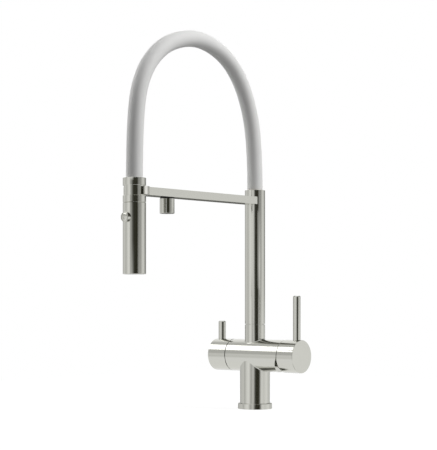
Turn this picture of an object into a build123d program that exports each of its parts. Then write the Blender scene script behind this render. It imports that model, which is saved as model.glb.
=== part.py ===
from build123d import *

import os
from math import asin, cos, degrees, isclose, pi, radians, sin, tan

# Three-way kitchen tap for hot, cold and filtered drinking water, with a pull-out spray.
# Millimetres, +Z up. The origin is the centre of the base on the worktop, the barrel lies along X
# and the arm points along -Y, to the user.

os.makedirs("parts", exist_ok=True)

# Fits that many pieces share
push_gap = 0.05
running_gap = 0.05
seam_gap = 0.8
clear_gap = 0.3
rim_edge = 0.2
overrun = 1.0
corner_share = 0.5

# Base ring and stem
base_ring_height = 7.4
base_ring_lip = 2.9
base_ring_edge = 0.2
base_ring_gap = 0.7
stem_inset = 1.2
spigot_step = 2.6
deck_seal_width = 2.4
deck_seal_height = 1.6
deck_seal_inset = 1.4

# Ports and stud holes in the underside
port_radius = 4.5
port_depth = 12.0
port_x = 9.2
port_y = 5.7
filter_port_x = 10.4
stud_hole_radius = 3.4
stud_hole_depth = 14.0
stud_spacing = 25.4

# Barrel
barrel_z = 73.8
barrel_radius = 22.0
barrel_left = 36.0
barrel_right = 52.4
relief_angle = 21.5
lever_tilt = 20.0
crease_radius = 1.2

# Waterways inside the body
supply_radius = 2.8
mixed_radius = 2.8
mixed_rise = 8.0
mixed_x = 7.3
filter_way_radius = 1.6

# Riser, its socket and its turning fit
riser_radius = 14.0
riser_wall = 1.6
riser_seam_rise = 42.7
riser_over_arm = 9.5
socket_wall = 1.9
socket_depth = 18.5
spigot_wall = 3.9
riser_floor = 3.4
swivel_half_angle = 75.0
stop_screw_radius = 1.5
stop_screw_length = 3.0
stop_screw_drop = 6.9
stop_screw_bite = 1.2
ring_depth = 1.15
ring_height = 2.6
ring_drops = (2.2, 14.3)
riser_seal_radius = 0.85
riser_seal_drops = (10.0, 12.5)

# Arm with its docking yoke
arm_top_z = 292.9
arm_height = 10.2
arm_width = 21.9
arm_wall = 1.4
arm_root_wall = 5.5
reach = 247.4
yoke_thickness = 5.0
yoke_gap = 0.6
tenon_length = 9.0
magnet_width = 8.0
magnet_thickness = 3.0
magnet_height = 5.0
magnet_skin = 0.8
nipple_radius = 4.0
nipple_head_radius = 5.4
nipple_head = 1.4

# Filtered water: tube and spout
filter_tube_radius = 2.5
filter_tube_wall = 0.75
filter_tube_seat = 7.0
filter_tube_bend = 9.0
filter_spout_setback = 62.1
filter_spout_radius = 9.5
filter_spout_length = 20.9
filter_spout_wall = 1.5
filter_spout_edge = 0.4
spout_washer_height = 1.8
spout_washer_inset = 0.4
elbow_width = 13.0
elbow_length = 16.0
elbow_stub_radius = 5.5
elbow_stub_length = 6.0
elbow_seal_radius = 0.8
filter_aerator_height = 7.0
filter_aerator_recess = 0.8
mesh_bore_radius = 0.7

# Hose, its support spring and its inner hose
hose_radius = 10.6
hose_wall = 1.5
spring_wire = 1.4
spring_gap = 0.3
inner_hose_radius = 6.6
inner_hose_wall = 2.1
hose_seat_depth = 6.2
ferrule_floor = 2.6
barb_height = 8.0
barb_wall = 1.2

# Corners of the hose's route in the plane of the arm, as shares of the reach and heights over
# the arm
route_reach_shares = (0, 0.079, 0.2215, 0.4165, 0.601, 0.807, 0.9535, 1)
route_rises = (75.1, 140.1, 182.1, 201.1, 201.1, 181.6, 140.1, 79.1)
arc_share = 0.45

# Spray head
spray_radius = 14.55
spray_wall = 1.4
spray_edge = 0.6
hose_nut_over_arm = 10.7
neck_radius = 13.3
neck_height = 12.3
neck_gap = 1.2
neck_bore_radius = 8.2
collar_height = 9.1
collar_spigot = 7.0
spray_shell_length = 89.5
core_length = 36.0
core_stem_wall = 2.1
core_stem_top_gap = 0.8
core_way_radius = 3.0
nut_floor = 3.2
swivel_length = 8.5
check_valve_length = 13.0
check_valve_bore = 2.8
face_height = 5.0
face_inset = 0.6
jet_radius = 0.9
jet_ring_radii = (8.6, 11.2)
jet_counts = (16, 20)
stream_radius = 6.2
stream_height = 9.0
stream_tube_radius = 5.2
stream_tube_wall = 1.2
stream_hole_radius = 0.8
stream_ring_radius = 3.4
stream_hole_count = 8

# Spray button
button_drop = 18.7
button_radius = 5.1
bezel_width = 1.2
bezel_depth = 6.2
bezel_proud = 4.0
button_proud = 4.6
button_travel = 2.2
button_length = 7.3
button_flange = 1.0
button_flange_height = 1.0
button_edge = 1.0
spool_radius = 1.9
spool_length = 16.0
spring_sleeve_wall = 0.9
spring_seat_depth = 3.4

# Mixing cartridge and the mixing lever
cartridge_depth = 39.0
cartridge_radius = 17.5
cartridge_floor = 5.0
cartridge_wall = 1.6
cartridge_length = 26.5
port_seal_width = 1.4
port_seal_height = 1.6
disc_thickness = 3.0
moving_disc_radius = 11.0
moving_disc_pocket = 7.0
moving_disc_pocket_depth = 1.6
driver_radius = 10.6
driver_plate = 3.0
driver_block = 12.0
driver_block_height = 8.5
turret_clear = 0.4
turret_flange = 10.4
turret_neck_radius = 11.9
turret_neck_end = 2.6
lever_pivot_inset = 0.4
lever_arm = 18.5
lever_ball_radius = 3.0
lever_ball_gap = 0.1
lever_shaft_radius = 2.2
lever_hub_radius = 4.0
lever_hub_inner = 4.0
lever_hub_outer = 20.0
pivot_pin_radius = 1.2
pivot_pin_length = 20.0
ring_nut_length = 5.4
ring_nut_notch = 3.0
ring_nut_notch_count = 4

# Caps with their lever rods
mixing_cap_step = 0.4
mixing_cap_length = 26.4
mixing_cap_wall = 2.1
mixing_cap_bore_depth = 11.8
mixing_boss_radius = 8.0
mixing_boss_length = 4.6
filter_cap_length = 29.8
filter_cap_wall = 2.2
filter_cap_bore_depth = 13.4
cap_edge = 0.2
rod_radius = 5.15
rod_inset = 8.2
rod_edge = 0.9
rod_stud_radius = 3.0
rod_stud_length = 7.0
mixing_rod_height = 60.0
filter_rod_height = 25.1
grub_radius = 2.0
grub_length = 6.0
grub_offset = 4.6

# Filter valve in the barrel's left end
headwork_radius = 9.0
headwork_depth = 22.4
headwork_bore_radius = 7.6
headwork_bore_depth = 10.4
headwork_hex_flats = 20.0
headwork_hex_length = 5.6
headwork_neck_radius = 7.0
headwork_neck_length = 5.6
filter_port_offset = 4.6
filter_seal_width = 0.65
filter_seal_height = 1.2
filter_disc_radius = 7.5
filter_disc_thickness = 3.0
filter_slot_angle = 60.0
spindle_radius = 4.0
spindle_flange_height = 2.8
spindle_grip = 11.0
spindle_seal_radius = 0.55
spindle_seal_depth = 1.0
spindle_seal_share = 0.45

# Places worked out from the sizes
stem_radius = barrel_radius - stem_inset
spigot_radius = stem_radius - spigot_step
stem_foot_z = base_ring_height + base_ring_gap
base_ring_radius = stem_radius + base_ring_lip
mixing_cap_radius = barrel_radius + mixing_cap_step
riser_seam_z = barrel_z + riser_seam_rise
riser_top_z = arm_top_z + riser_over_arm
filter_spout_reach = reach - filter_spout_setback
socket_floor_z = riser_seam_z - socket_depth
arm_z = arm_top_z - arm_height / 2
arm_bottom_z = arm_top_z - arm_height
cartridge_floor_x = barrel_right - cartridge_depth
headwork_floor_x = -(barrel_left - headwork_depth)
pivot_x = barrel_right - lever_pivot_inset
mixing_cap_x = barrel_right + seam_gap
mixing_end_x = mixing_cap_x + mixing_cap_length
filter_cap_x = -(barrel_left + seam_gap)
filter_end_x = filter_cap_x - filter_cap_length
mixing_rod_x = mixing_end_x - rod_inset
filter_rod_x = filter_end_x + rod_inset
riser_inner_radius = riser_radius - riser_wall
socket_radius = riser_radius - socket_wall
riser_spigot_radius = socket_radius - 2 * running_gap
hose_foot_z = riser_top_z - hose_seat_depth
yoke_inner_radius = neck_radius + yoke_gap
yoke_outer_radius = yoke_inner_radius + yoke_thickness
neck_top_z = arm_top_z + neck_gap
neck_bottom_z = neck_top_z - neck_height
collar_bottom_z = neck_bottom_z - collar_height
spray_bottom_z = collar_bottom_z - spray_shell_length
button_z = collar_bottom_z - button_drop
nut_bottom_z = neck_top_z
hose_nut_top_z = arm_top_z + hose_nut_over_arm
hose_end_z = nut_bottom_z + nut_floor
core_top_z = collar_bottom_z - collar_spigot
core_bottom_z = core_top_z - core_length
barrel_axis = Axis((0, 0, barrel_z), (1, 0, 0))


# Helpers


def level(z, x=0, y=0):
    """A level plane at that height, facing up."""
    return Plane(origin=(x, y, z))


def facing_right(x, y=0, z=barrel_z):
    """An upright plane across the barrel, facing +X."""
    return Plane(origin=(x, y, z), x_dir=(0, 1, 0), z_dir=(1, 0, 0))


def facing_left(x, y=0, z=barrel_z):
    """An upright plane across the barrel, facing -X."""
    return Plane(origin=(x, y, z), x_dir=(0, -1, 0), z_dir=(-1, 0, 0))


def barrel_plane(facing):
    """A plane through the barrel's axis, with its x along the barrel."""
    return Plane(origin=(0, 0, barrel_z), x_dir=(1, 0, 0), z_dir=facing)


def facing_user(distance, z, x=0):
    """An upright plane across the arm, facing -Y, at that distance in front of the riser."""
    return Plane(origin=(x, -distance, z), x_dir=(1, 0, 0), z_dir=(0, -1, 0))


def rod(plane, radius, length, mode=Mode.ADD):
    """Round stock, or a round cut, from the plane along its normal."""
    with BuildSketch(plane) as profile:
        Circle(radius)
    extrude(profile.sketch, amount=length, mode=mode)


def bore(plane, radius, length):
    """A round cut from the plane along its normal."""
    rod(plane, radius, length, Mode.SUBTRACT)


def bar(plane, width, height, length, mode=Mode.ADD):
    """Square-cornered stock, or a cut, from the plane along its normal."""
    with BuildSketch(plane) as profile:
        Rectangle(width, height)
    extrude(profile.sketch, amount=length, mode=mode)


def groove(plane, outer, inner, length):
    """Cuts a groove round a shaft, from the plane along its normal."""
    with BuildSketch(plane) as profile:
        Circle(outer + overrun)
        Circle(inner, mode=Mode.SUBTRACT)
    extrude(profile.sketch, amount=length, mode=Mode.SUBTRACT)


def rims(block, radius):
    """The round edges of that radius in a part being built."""
    circles = block.edges().filter_by(GeomType.CIRCLE)
    return circles.filter_by(lambda edge: isclose(edge.radius, radius, rel_tol=1e-6))


def ring(plane, outer, inner, length):
    """A plain ring from the plane along its normal."""
    with BuildPart() as piece:
        rod(plane, outer, length)
        bore(plane, inner, length)
    return piece.part


def round_seal(plane, radius, cord_radius):
    """A round seal ring lying in the plane, at that radius to the middle of its cord."""
    across = Plane(origin=plane.origin, x_dir=plane.x_dir, z_dir=plane.y_dir)
    with BuildPart() as piece:
        with BuildSketch(across) as section:
            with Locations((radius, 0)):
                Circle(cord_radius)
        revolve(section.sketch, axis=Axis(plane.origin, plane.z_dir))
    return piece.part


def keep(name, part):
    """Labels a finished piece and writes its file."""
    part.label = name
    export_step(part, f"parts/{name}.step")


def keep_group(name, pieces):
    """Labels like pieces as one group of separate solids and writes their file."""
    keep(name, Compound(children=pieces))


# Deck end of the body

deck_seal_outer = base_ring_radius - deck_seal_inset
deck_seal_inner = deck_seal_outer - deck_seal_width

with BuildPart() as base_ring:
    rod(level(0), base_ring_radius, base_ring_height)
    bore(level(0), deck_seal_outer, deck_seal_height)
    rod(level(0), deck_seal_inner, deck_seal_height)
    bore(level(0), spigot_radius + push_gap, base_ring_height)
    chamfer(rims(base_ring, base_ring_radius), base_ring_edge)
keep("base_ring", base_ring.part)

deck_seal = ring(
    level(0), deck_seal_outer - push_gap, deck_seal_inner + push_gap, deck_seal_height
)
keep("deck_seal", deck_seal)

# Mixer body: stem, barrel and riser socket in one casting

relief_drop = barrel_radius + overrun
relief_reach = relief_drop * tan(radians(relief_angle))
supply_top_z = barrel_z - port_y
filter_supply_top_z = barrel_z - filter_port_offset

with BuildPart() as mixer_body:
    rod(level(stem_foot_z), stem_radius, barrel_z - stem_foot_z)
    rod(facing_right(-barrel_left), barrel_radius, barrel_left + barrel_right)
    rod(level(barrel_z), riser_radius, riser_seam_z - barrel_z)
    fillet(mixer_body.edges().filter_by(GeomType.BSPLINE), crease_radius)
    chamfer(rims(mixer_body, barrel_radius) + rims(mixer_body, riser_radius), rim_edge)
    rod(level(0), spigot_radius, stem_foot_z)
    # Relief of the right end, which lets the mixing cap tilt: a wedge under the axis, the same
    # wedge behind it for the cap turned forward, and a cone between the two
    for plane in (barrel_plane((0, -1, 0)), barrel_plane((0, 0, -1))):
        with BuildSketch(plane) as relief:
            with BuildLine():
                Polyline(
                    (barrel_right + overrun, 0),
                    (barrel_right, 0),
                    (barrel_right - relief_reach, -relief_drop),
                    (barrel_right + overrun, -relief_drop),
                    close=True,
                )
            make_face()
        extrude(relief.sketch, amount=relief_drop, both=True, mode=Mode.SUBTRACT)
        if plane.z_dir.Z == 0:
            revolve(relief.sketch, axis=barrel_axis, revolution_arc=90, mode=Mode.SUBTRACT)
    # Chambers for the cartridge, the filter valve and the riser
    bore(facing_left(barrel_right), cartridge_radius + push_gap, cartridge_depth)
    bore(facing_right(-barrel_left), headwork_radius + push_gap, headwork_depth)
    bore(level(socket_floor_z), socket_radius, socket_depth)
    # Hot and cold supplies rise from the ports and turn into the cartridge chamber
    for side in (-1, 1):
        bore(level(0, port_x, side * port_y), port_radius, port_depth)
        bore(level(port_depth, port_x, side * port_y), supply_radius, supply_top_z - port_depth)
        bore(
            facing_right(port_x, side * port_y, supply_top_z),
            supply_radius,
            cartridge_floor_x - port_x + overrun,
        )
    # Filtered supply rises to the filter valve and leaves it for the middle of the riser
    bore(level(0, -filter_port_x), port_radius, port_depth)
    bore(
        level(port_depth, -filter_port_x), filter_way_radius, filter_supply_top_z - port_depth
    )
    bore(
        facing_left(-filter_port_x, 0, filter_supply_top_z),
        filter_way_radius,
        -headwork_floor_x - filter_port_x + overrun,
    )
    bore(facing_left(0), filter_way_radius, overrun - headwork_floor_x)
    bore(level(barrel_z), filter_way_radius, socket_floor_z - barrel_z)
    bore(
        level(socket_floor_z - filter_tube_seat),
        filter_tube_radius + push_gap,
        filter_tube_seat,
    )
    # Mixed water leaves the cartridge for the riser
    bore(
        facing_right(mixed_x, 0, barrel_z + mixed_rise),
        mixed_radius,
        cartridge_floor_x - mixed_x + overrun,
    )
    bore(level(barrel_z + mixed_rise, mixed_x), mixed_radius, socket_floor_z - barrel_z)
    # Stud holes and the stop screw's hole behind the socket
    for side in (-1, 1):
        bore(level(0, 0, side * stud_spacing / 2), stud_hole_radius, stud_hole_depth)
    bore(
        facing_user(-riser_radius, riser_seam_z - stop_screw_drop),
        stop_screw_radius + push_gap,
        riser_radius,
    )
keep("mixer_body", mixer_body.part)

# Riser fittings in the socket: bearing rings and the stop screw

bearing_rings = [
    ring(
        level(riser_seam_z - drop - ring_height + running_gap),
        socket_radius - push_gap,
        riser_spigot_radius - ring_depth + running_gap,
        ring_height - 2 * running_gap,
    )
    for drop in ring_drops
]
keep_group("swivel_bearing_rings", bearing_rings)

stop_groove_radius = riser_spigot_radius - stop_screw_bite - clear_gap
stop_screw_tip = riser_spigot_radius - stop_screw_bite

stop_screw_head = facing_user(
    -stop_screw_tip - stop_screw_length, riser_seam_z - stop_screw_drop
)

with BuildPart() as swivel_stop_screw:
    rod(stop_screw_head, stop_screw_radius, stop_screw_length)
    with BuildSketch(stop_screw_head) as key:
        RegularPolygon(stop_screw_radius * corner_share, 6)
    extrude(key.sketch, amount=stop_screw_radius * corner_share, mode=Mode.SUBTRACT)
keep("swivel_stop_screw", swivel_stop_screw.part)

# Riser: column with the turning spigot below it

riser_foot_z = riser_seam_z + seam_gap
spigot_foot_z = socket_floor_z + clear_gap
spigot_bore_radius = riser_spigot_radius - spigot_wall
seal_groove_radius = socket_radius - 2 * riser_seal_radius - 2 * running_gap
stop_sweep = swivel_half_angle + degrees(asin((stop_screw_radius + push_gap) / stop_screw_tip))
stop_start = radians(90 - stop_sweep)
stop_plane = Plane(
    origin=(0, 0, 0),
    x_dir=(cos(stop_start), sin(stop_start), 0),
    z_dir=(sin(stop_start), -cos(stop_start), 0),
)

with BuildPart() as riser_column:
    rod(level(riser_foot_z), riser_radius, riser_top_z - riser_foot_z)
    chamfer(rims(riser_column, riser_radius), rim_edge)
    rod(level(spigot_foot_z), riser_spigot_radius, riser_foot_z - spigot_foot_z)
    bore(level(spigot_foot_z), spigot_bore_radius, riser_top_z - spigot_foot_z)
    bore(
        level(riser_foot_z + riser_floor),
        riser_inner_radius,
        riser_top_z - riser_foot_z - riser_floor,
    )
    # Grooves for the bearing rings and the seals
    for drop in ring_drops:
        foot = level(riser_seam_z - drop - ring_height)
        groove(foot, riser_spigot_radius, riser_spigot_radius - ring_depth, ring_height)
    for drop in riser_seal_drops:
        foot = level(riser_seam_z - drop - riser_seal_radius)
        groove(foot, riser_spigot_radius, seal_groove_radius, 2 * riser_seal_radius)
    # Groove for the stop screw, which ends where the riser must stop
    with BuildSketch(stop_plane) as stop_section:
        with Locations((stop_groove_radius + riser_radius / 2, riser_seam_z - stop_screw_drop)):
            Rectangle(riser_radius, 2 * (stop_screw_radius + clear_gap))
    revolve(
        stop_section.sketch,
        axis=Axis.Z,
        revolution_arc=2 * stop_sweep,
        mode=Mode.SUBTRACT,
    )
    # Way for the filtered water into the arm
    bore(facing_user(0, arm_z), nipple_radius + push_gap, riser_radius + overrun)
keep("riser_column", riser_column.part)

riser_seals = [
    round_seal(
        level(riser_seam_z - drop),
        socket_radius - riser_seal_radius - running_gap,
        riser_seal_radius - push_gap,
    )
    for drop in riser_seal_drops
]
keep_group("riser_seals", riser_seals)

# Arm: hollow bar from the riser to the yoke

yoke_back = reach - yoke_outer_radius
arm_end = reach - (yoke_outer_radius**2 - (arm_width / 2) ** 2) ** 0.5
pocket_start = riser_radius + arm_root_wall
pocket_width = arm_width - 2 * arm_wall
pocket_height = arm_height - 2 * arm_wall

with BuildPart() as holder_arm:
    bar(facing_user(0, arm_z), arm_width, arm_height, arm_end)
    bore(level(arm_bottom_z), riser_radius + push_gap, arm_height)
    bar(
        facing_user(pocket_start, arm_z),
        pocket_width,
        pocket_height,
        arm_end - pocket_start,
        Mode.SUBTRACT,
    )
    bore(level(arm_bottom_z, 0, -reach), yoke_outer_radius + push_gap, arm_height)
    bore(facing_user(0, arm_z), nipple_radius + push_gap, pocket_start)
    bore(level(arm_bottom_z, 0, -filter_spout_reach), elbow_stub_radius + push_gap, arm_height / 2)
keep("holder_arm", holder_arm.part)

with BuildPart() as docking_yoke:
    rod(level(arm_bottom_z, 0, -reach), yoke_outer_radius, arm_height)
    bore(level(arm_bottom_z, 0, -reach), yoke_inner_radius, arm_height)
    bar(
        facing_user(reach, arm_z),
        2 * (yoke_outer_radius + overrun),
        arm_height + overrun,
        yoke_outer_radius + overrun,
        Mode.SUBTRACT,
    )
    bar(
        facing_user(yoke_back - tenon_length, arm_z),
        pocket_width - 2 * push_gap,
        pocket_height - 2 * push_gap,
        tenon_length + yoke_thickness - magnet_skin,
    )
    bar(
        facing_user(yoke_back - tenon_length, arm_z),
        magnet_width + 2 * push_gap,
        magnet_height + 2 * push_gap,
        tenon_length + yoke_thickness - magnet_skin,
        Mode.SUBTRACT,
    )
keep("docking_yoke", docking_yoke.part)

with BuildPart() as docking_magnet:
    bar(
        facing_user(reach - yoke_inner_radius - magnet_skin - magnet_thickness, arm_z),
        magnet_width,
        magnet_height,
        magnet_thickness,
    )
keep("docking_magnet", docking_magnet.part)

# Hollow screw that clamps the arm to the riser

nipple_head_end = (riser_inner_radius**2 - nipple_head_radius**2) ** 0.5 - push_gap

with BuildPart() as arm_nipple:
    rod(facing_user(nipple_head_end - nipple_head, arm_z), nipple_head_radius, nipple_head)
    rod(facing_user(nipple_head_end, arm_z), nipple_radius, pocket_start - nipple_head_end)
    bore(
        facing_user(nipple_head_end - nipple_head, arm_z),
        filter_tube_radius + running_gap + push_gap,
        pocket_start,
    )
keep("arm_nipple", arm_nipple.part)

# Tube for the filtered water: up the riser's middle, through the nipple and along the arm

elbow_start = filter_spout_reach - elbow_length / 2
tube_foot_z = socket_floor_z - filter_tube_seat
tube_end = elbow_start + elbow_length / 4

with BuildPart() as filtered_water_tube:
    with BuildLine() as tube_route:
        FilletPolyline(
            (0, 0, tube_foot_z), (0, 0, arm_z), (0, -tube_end, arm_z), radius=filter_tube_bend
        )
    with BuildSketch(level(tube_foot_z)) as tube_section:
        Circle(filter_tube_radius)
        Circle(filter_tube_radius - filter_tube_wall, mode=Mode.SUBTRACT)
    sweep(tube_section.sketch, path=tube_route.line)
keep("filtered_water_tube", filtered_water_tube.part)

# Spout for the filtered water under the arm

spout_bottom_z = arm_bottom_z - filter_spout_length
stub_bottom_z = arm_bottom_z - elbow_stub_length

with BuildPart() as filter_spout_elbow:
    bar(
        facing_user(elbow_start, arm_z),
        elbow_width,
        pocket_height - 2 * push_gap,
        elbow_length,
    )
    rod(level(stub_bottom_z, 0, -filter_spout_reach), elbow_stub_radius, arm_z - stub_bottom_z)
    bore(facing_user(elbow_start, arm_z), filter_tube_radius + push_gap, elbow_length / 4)
    bore(facing_user(elbow_start, arm_z), filter_way_radius, elbow_length / 2)
    bore(level(stub_bottom_z, 0, -filter_spout_reach), filter_way_radius, arm_z - stub_bottom_z)
keep("filter_spout_elbow", filter_spout_elbow.part)

aerator_radius = filter_spout_radius - filter_spout_wall
aerator_bottom_z = spout_bottom_z + filter_aerator_recess

with BuildPart() as filter_spout:
    spout_middle = level(spout_bottom_z, 0, -filter_spout_reach)
    rod(spout_middle, filter_spout_radius, filter_spout_length - spout_washer_height)
    chamfer(rims(filter_spout, filter_spout_radius).sort_by(Axis.Z)[0], filter_spout_edge)
    bore(spout_middle, aerator_radius, filter_aerator_recess + filter_aerator_height)
    bore(spout_middle, aerator_radius - filter_spout_wall, filter_spout_length / 2)
    bore(
        level(stub_bottom_z - 2 * elbow_seal_radius, 0, -filter_spout_reach),
        elbow_stub_radius + push_gap,
        filter_spout_length,
    )
    bore(spout_middle, elbow_stub_radius - 2 * elbow_seal_radius, filter_spout_length)
keep("filter_spout", filter_spout.part)

filter_spout_washer = ring(
    level(arm_bottom_z - spout_washer_height, 0, -filter_spout_reach),
    filter_spout_radius - spout_washer_inset,
    elbow_stub_radius + push_gap,
    spout_washer_height,
)
keep("filter_spout_washer", filter_spout_washer)

keep(
    "filter_spout_seal",
    round_seal(
        level(stub_bottom_z - elbow_seal_radius, 0, -filter_spout_reach),
        elbow_stub_radius - elbow_seal_radius,
        elbow_seal_radius - push_gap,
    ),
)

with BuildPart() as filter_aerator:
    aerator_middle = level(aerator_bottom_z, 0, -filter_spout_reach)
    rod(aerator_middle, aerator_radius - push_gap, filter_aerator_height)
    with BuildSketch(aerator_middle) as mesh:
        with HexLocations(2 * mesh_bore_radius, 5, 5):
            Circle(mesh_bore_radius)
    extrude(mesh.sketch, amount=filter_aerator_height, mode=Mode.SUBTRACT)
keep("filter_aerator", filter_aerator.part)

# Hose from the riser over to the spray head: sleeve, support spring and inner hose

hose_points = [(0, 0, hose_foot_z)]
hose_points += [
    (0, -reach * share, arm_top_z + rise)
    for share, rise in zip(route_reach_shares, route_rises)
]
hose_points += [(0, -reach, hose_end_z)]
runs = [Vector(*b) - Vector(*a) for a, b in zip(hose_points, hose_points[1:])]
turns = [a.get_angle(b) for a, b in zip(runs, runs[1:])]
hose_radii = [
    arc_share * min(a.length, b.length) / tan(radians(turn / 2))
    for a, b, turn in zip(runs, runs[1:], turns)
]
hose_length = sum(run.length for run in runs) - sum(
    2 * radius * tan(radians(turn / 2)) - radius * radians(turn)
    for radius, turn in zip(hose_radii, turns)
)
print("hose bend radii", [round(radius) for radius in hose_radii], "turns", [round(t) for t in turns])
print("hose length", round(hose_length, 1))


def hose_layer(outer, wall):
    """One layer of the hose along its whole route."""
    with BuildPart() as layer:
        with BuildLine() as route:
            FilletPolyline(*hose_points, radius=hose_radii)
        with BuildSketch(level(hose_foot_z)) as section:
            Circle(outer)
            Circle(outer - wall, mode=Mode.SUBTRACT)
        sweep(section.sketch, path=route.line)
    expected = pi * (outer**2 - (outer - wall) ** 2) * route.wire().length
    print("layer volume", round(layer.part.volume), "expected", round(expected))
    return layer.part


spring_radius = hose_radius - hose_wall - spring_gap
keep("hose_sleeve", hose_layer(hose_radius, hose_wall))
keep("hose_support_spring", hose_layer(spring_radius, spring_wire))
keep("inner_hose", hose_layer(inner_hose_radius, inner_hose_wall))


def hose_ferrule(middle, outer, seat, floor, barb):
    """A cup that holds the hose's end, with a hollow barb in the inner hose.

    The middle plane lies on the cup's floor, facing along the hose."""
    down = Plane(origin=middle.origin, x_dir=middle.x_dir, z_dir=-middle.z_dir)
    barb_radius = inner_hose_radius - inner_hose_wall - push_gap
    with BuildPart() as cup:
        rod(middle, outer, seat)
        rod(down, outer, floor)
        bore(middle, hose_radius + push_gap, seat)
        rod(middle, barb_radius, barb)
        bore(middle, barb_radius - barb_wall, barb)
        bore(down, barb_radius - barb_wall, floor)
    return cup.part


keep(
    "riser_hose_ferrule",
    hose_ferrule(
        level(hose_foot_z),
        riser_inner_radius - push_gap,
        hose_seat_depth - clear_gap,
        ferrule_floor,
        barb_height,
    ),
)

# Spray head: the nut that stays with the hose, with a swivel spigot for the turning head

core_stem_radius = neck_bore_radius - push_gap
core_bore_radius = core_stem_radius - core_stem_wall
swivel_spigot_radius = core_bore_radius - running_gap

with BuildPart() as hose_nut:
    add(
        hose_ferrule(
            level(hose_end_z, 0, -reach),
            spray_radius,
            hose_nut_top_z - hose_end_z,
            nut_floor,
            barb_height,
        )
    )
    spigot_middle = level(nut_bottom_z - swivel_length, 0, -reach)
    rod(spigot_middle, swivel_spigot_radius, swivel_length)
    bore(
        spigot_middle,
        inner_hose_radius - inner_hose_wall - push_gap - barb_wall,
        swivel_length + nut_floor,
    )
    chamfer(rims(hose_nut, spray_radius), rim_edge)
keep("hose_nut", hose_nut.part)

# Spray head: docking neck, lower collar and shell

with BuildPart() as docking_neck:
    rod(level(neck_bottom_z, 0, -reach), neck_radius, neck_height)
    bore(level(neck_bottom_z, 0, -reach), neck_bore_radius, neck_height)
keep("docking_neck", docking_neck.part)

shell_bore_radius = spray_radius - spray_wall

with BuildPart() as spray_collar:
    rod(level(collar_bottom_z, 0, -reach), spray_radius, collar_height)
    chamfer(rims(spray_collar, spray_radius), spray_edge)
    rod(level(core_top_z, 0, -reach), shell_bore_radius - push_gap, collar_spigot)
    bore(level(core_top_z, 0, -reach), neck_bore_radius, collar_spigot + collar_height)
keep("spray_collar", spray_collar.part)

bezel_outer_radius = button_radius + running_gap + bezel_width

with BuildPart() as spray_shell:
    rod(level(spray_bottom_z, 0, -reach), spray_radius, spray_shell_length)
    chamfer(rims(spray_shell, spray_radius), spray_edge)
    bore(level(spray_bottom_z, 0, -reach), shell_bore_radius, spray_shell_length)
    bore(facing_user(reach, button_z), bezel_outer_radius + push_gap, spray_radius + overrun)
keep("spray_shell", spray_shell.part)

# Valve core inside the shell, with the spool's bore behind the button

core_radius = shell_bore_radius - push_gap
bezel_face = reach + spray_radius + bezel_proud
bezel_back = bezel_face - bezel_depth
button_face = reach + spray_radius + button_proud
flange_face = bezel_back - push_gap
flange_back = flange_face - button_flange_height
pocket_floor = flange_back - spring_seat_depth
flange_radius = button_radius + button_flange
spool_end = button_face - button_length - spool_length
stem_top_z = neck_top_z - core_stem_top_gap

with BuildPart() as valve_core:
    rod(level(core_bottom_z, 0, -reach), core_radius, core_length)
    rod(level(core_top_z, 0, -reach), core_stem_radius, stem_top_z - core_top_z)
    bore(level(button_z, 0, -reach), core_way_radius, core_top_z - button_z)
    bore(level(core_top_z, 0, -reach), core_bore_radius, stem_top_z - core_top_z)
    bore(level(core_bottom_z, 0, -reach), core_way_radius, button_z - core_bottom_z)
    bore(
        facing_user(pocket_floor, button_z),
        bezel_outer_radius + push_gap,
        spray_radius,
    )
    bore(
        facing_user(spool_end - button_travel - clear_gap, button_z),
        spool_radius + running_gap,
        spool_length,
    )
keep("valve_core", valve_core.part)

with BuildPart() as button_bezel:
    rod(facing_user(bezel_back, button_z), bezel_outer_radius, bezel_depth)
    bore(facing_user(bezel_back, button_z), button_radius + running_gap, bezel_depth)
    front_rim = rims(button_bezel, bezel_outer_radius).sort_by(Axis.Y)[0]
    fillet(front_rim, bezel_width * corner_share)
keep("button_bezel", button_bezel.part)

with BuildPart() as spray_button:
    rod(facing_user(flange_back, button_z), button_radius, button_face - flange_back)
    rod(facing_user(flange_back, button_z), flange_radius, flange_face - flange_back)
    front_rim = rims(spray_button, button_radius).sort_by(Axis.Y)[0]
    fillet(front_rim, button_edge)
keep("spray_button", spray_button.part)

with BuildPart() as diverter_spool:
    rod(facing_user(spool_end, button_z), spool_radius, flange_back - spool_end)
keep("diverter_spool", diverter_spool.part)

sleeve_inner = spool_radius + running_gap + clear_gap
keep(
    "button_spring",
    ring(
        facing_user(pocket_floor, button_z),
        sleeve_inner + spring_sleeve_wall,
        sleeve_inner,
        spring_seat_depth,
    ),
)

keep(
    "spray_check_valve",
    ring(
        level(core_top_z, 0, -reach),
        core_bore_radius - push_gap,
        check_valve_bore,
        check_valve_length,
    ),
)

# Outlet of the spray head: jet plate, stream insert and the tube that feeds it

face_bottom_z = spray_bottom_z + face_inset
stream_middle = level(face_bottom_z, 0, -reach)
stream_top_z = face_bottom_z + stream_height

with BuildPart() as spray_face:
    rod(stream_middle, core_radius, face_height)
    bore(stream_middle, stream_radius + push_gap, face_height)
    for ring_radius, count in zip(jet_ring_radii, jet_counts):
        with BuildSketch(stream_middle) as jets:
            with PolarLocations(ring_radius, count):
                Circle(jet_radius)
        extrude(jets.sketch, amount=face_height, mode=Mode.SUBTRACT)
keep("spray_face", spray_face.part)

with BuildPart() as stream_insert:
    rod(stream_middle, stream_radius, stream_height)
    with BuildSketch(stream_middle) as holes:
        with PolarLocations(stream_ring_radius, stream_hole_count):
            Circle(stream_hole_radius)
        Circle(stream_hole_radius)
    extrude(holes.sketch, amount=stream_height, mode=Mode.SUBTRACT)
keep("stream_insert", stream_insert.part)

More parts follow.
